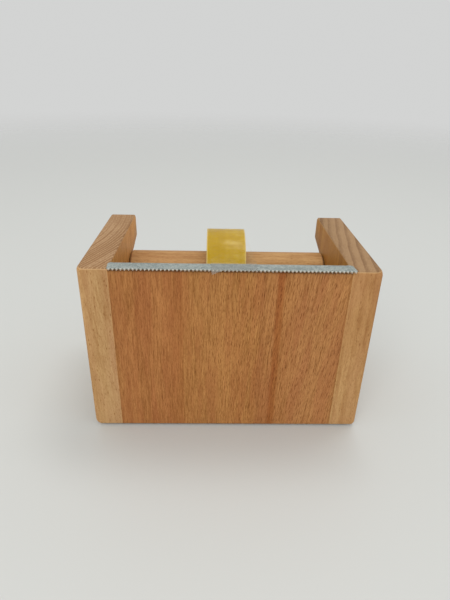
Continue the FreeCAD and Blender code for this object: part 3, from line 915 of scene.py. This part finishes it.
def makeScrew(middle):
    radius, height = screw["radius"] * mm, screw["height"] * mm
    halfWidth = screw["crossWidth"] / 2 * mm
    faceY = middle.y + height
    clearSelection()
    bpy.ops.mesh.primitive_cylinder_add(
        vertices=screw["sides"], radius=radius, depth=height,
        location=(middle.x, middle.y + height / 2, middle.z), rotation=(math.radians(-90), 0, 0))
    piece = placed("screwMiddle")
    # dome: the rim of the outer face is rounded
    rounded(piece, "edges", lambda a, b: min(a.y, b.y) > faceY - touch, screw["dome"], screw["domeSteps"])
    # shank and tip
    pick(piece, "faces", lambda centre, normal: normal.y < -facing)
    bpy.ops.mesh.inset(thickness=(screw["radius"] - screw["shank"]) * mm)
    extrude(0, -screw["shankLength"] * mm, 0)
    extrude(0, -screw["tip"] * mm, 0)
    bpy.ops.mesh.merge(type="COLLAPSE")
    bpy.ops.object.mode_set(mode="OBJECT")

    # recess: four planes cut the flat of the head, and the cross between them is pushed in
    def isFlat(centre, normal):
        return centre.y > faceY - touch and normal.y > facing

    def inCross(centre, normal):
        away = min(abs(centre.x - middle.x), abs(centre.z - middle.z))
        return isFlat(centre, normal) and away < halfWidth

    for axis in (0, 2):
        for side in (-1, 1):
            normal = [0, 0, 0]
            normal[axis] = 1
            point = Vector(middle)
            point[axis] += side * halfWidth
            pick(piece, "faces", isFlat)
            bpy.ops.mesh.bisect(plane_co=point, plane_no=normal)
            bpy.ops.object.mode_set(mode="OBJECT")
    pick(piece, "faces", inCross)
    extrude(0, -screw["crossDepth"] * mm, 0)
    bpy.ops.transform.resize(value=(screw["crossTaper"], 1, screw["crossTaper"]), center_override=middle)
    bpy.ops.object.mode_set(mode="OBJECT")
    return cleaned(piece, screw["smooth"])


def screwMaterial():
    material, tree, shader = newMaterial("zincScrew")
    cloud = softNoise(tree, objectPlace(tree), screw["cloudCell"], detail=4.0, roughness=0.6)
    tone = ramp(tree, cloud, *screw["lightFrom"])
    feed(tree, shader.inputs["Base Color"], mixColour(tree, tone, screw["dark"], screw["light"]))
    feed(tree, shader.inputs["Roughness"], centred(tree, cloud, screw["roughSpread"], screw["roughness"]))
    shader.inputs["Metallic"].default_value = 1.0
    return material


def makeScrews():
    reach = (screwsHigh.x - screwsLow.x) / 2 - screw["radius"] * mm
    middle = (screwsLow + screwsHigh) / 2
    pieces = [makeScrew(Vector((middle.x, screwsHigh.y - screw["height"] * mm, middle.z)))]
    for name, side in (("screwLeft", -1), ("screwRight", 1)):
        copy = copied(pieces[0], name)
        copy.location.x = side * reach
        bpy.ops.object.transform_apply(location=True, rotation=True, scale=True)
        pieces.append(copy)
    zinc = screwMaterial()
    for piece in pieces:
        dress(piece, zinc, "dispenser_body", "screw_steel", "strip_screws")


makeScrews()
print("screws made")


# Floor, light and camera. Room and lamps are in metres.

room = {
    "floorSide": 6.0, "floorColour": (0.585, 0.595, 0.57), "floorRoughness": 0.6, "fade": (0.3, 1.6),
    "sky": (1.0, 1.0, 1.0), "skyStrength": 0.77, "background": (0.65, 0.655, 0.65),
}
lamps = [
    {"name": "overheadLamp", "place": (0.22, 0.28, 1.15), "sides": (0.55, 0.24), "power": 2.9},
    {"name": "frontLamp", "place": (-0.30, -0.95, 0.90), "sides": (0.8, 0.8), "power": 6.0},
]
lens = {
    "focal": 27.495, "sensor": 36, "nearest": 0.01,
    "aside": -7.52, "ahead": 169.48, "height": 156.62,  # its place, seen from the panel's front
    "down": 27.407, "yaw": 1.803, "roll": 1.48,
}


def makeFloor():
    clearSelection()
    bpy.ops.mesh.primitive_plane_add(size=room["floorSide"])
    floor = bpy.context.object
    floor.name = "floor"
    material, tree, shader = newMaterial("paleTable")
    feed(tree, shader.inputs["Base Color"], room["floorColour"])
    feed(tree, shader.inputs["Roughness"], room["floorRoughness"])
    # far off, the floor fades into the backdrop
    faded = ramp(tree, lengthOf(tree, objectPlace(tree)), *room["fade"])
    clear = addNode(tree, "BsdfTransparent").outputs[0]
    seen = addNode(tree, "MixShader", {0: faded, 1: shader.outputs[0], 2: clear}).outputs[0]
    tree.links.new(seen, tree.nodes["Material Output"].inputs["Surface"])
    floor.data.materials.append(material)


def makeSky():
    world = bpy.data.worlds.new("studio")
    bpy.context.scene.world = world
    world.use_nodes = True
    tree = world.node_tree
    tree.nodes.clear()
    # the backdrop is what is seen straight on, in gloss and through film, and the sky is what gives light
    rays = addNode(tree, "LightPath").outputs
    seen = sums(tree, "MAXIMUM", rays["Is Camera Ray"], rays["Is Glossy Ray"])
    seen = sums(tree, "MAXIMUM", seen, rays["Is Transmission Ray"])
    light = addNode(tree, "Background", {"Color": room["sky"], "Strength": room["skyStrength"]}).outputs[0]
    shown = addNode(tree, "Background", {"Color": room["background"], "Strength": 1.0}).outputs[0]
    mixed = addNode(tree, "MixShader", {0: seen, 1: light, 2: shown}).outputs[0]
    addNode(tree, "OutputWorld", {0: mixed})


def makeLamp(lamp):
    light = bpy.data.lights.new(lamp["name"], "AREA")
    light.shape = "RECTANGLE"
    light.size, light.size_y = lamp["sides"]
    light.energy = lamp["power"]
    holder = bpy.data.objects.new(lamp["name"], light)
    holder.location = lamp["place"]
    holder.rotation_euler = (-Vector(lamp["place"])).to_track_quat("-Z", "Y").to_euler()
    bpy.context.scene.collection.objects.link(holder)


def makeCamera():
    camera = bpy.data.cameras.new("camera")
    camera.lens = lens["focal"]
    camera.sensor_width = lens["sensor"]
    camera.clip_start = lens["nearest"]
    holder = bpy.data.objects.new("camera", camera)
    holder.location = (lens["aside"] * mm, panelLow.y - lens["ahead"] * mm, lens["height"] * mm)
    turn = Matrix.Rotation(math.radians(-lens["yaw"]), 3, "Z")
    tilt = Matrix.Rotation(math.radians(90 - lens["down"]), 3, "X")
    roll = Matrix.Rotation(math.radians(lens["roll"]), 3, "Z")
    holder.rotation_euler = (turn @ tilt @ roll).to_euler()
    bpy.context.scene.collection.objects.link(holder)
    bpy.context.scene.camera = holder


makeFloor()
makeSky()
for lamp in lamps:
    makeLamp(lamp)
makeCamera()
bpy.context.scene.view_settings.view_transform = "Standard"
print("studio made")
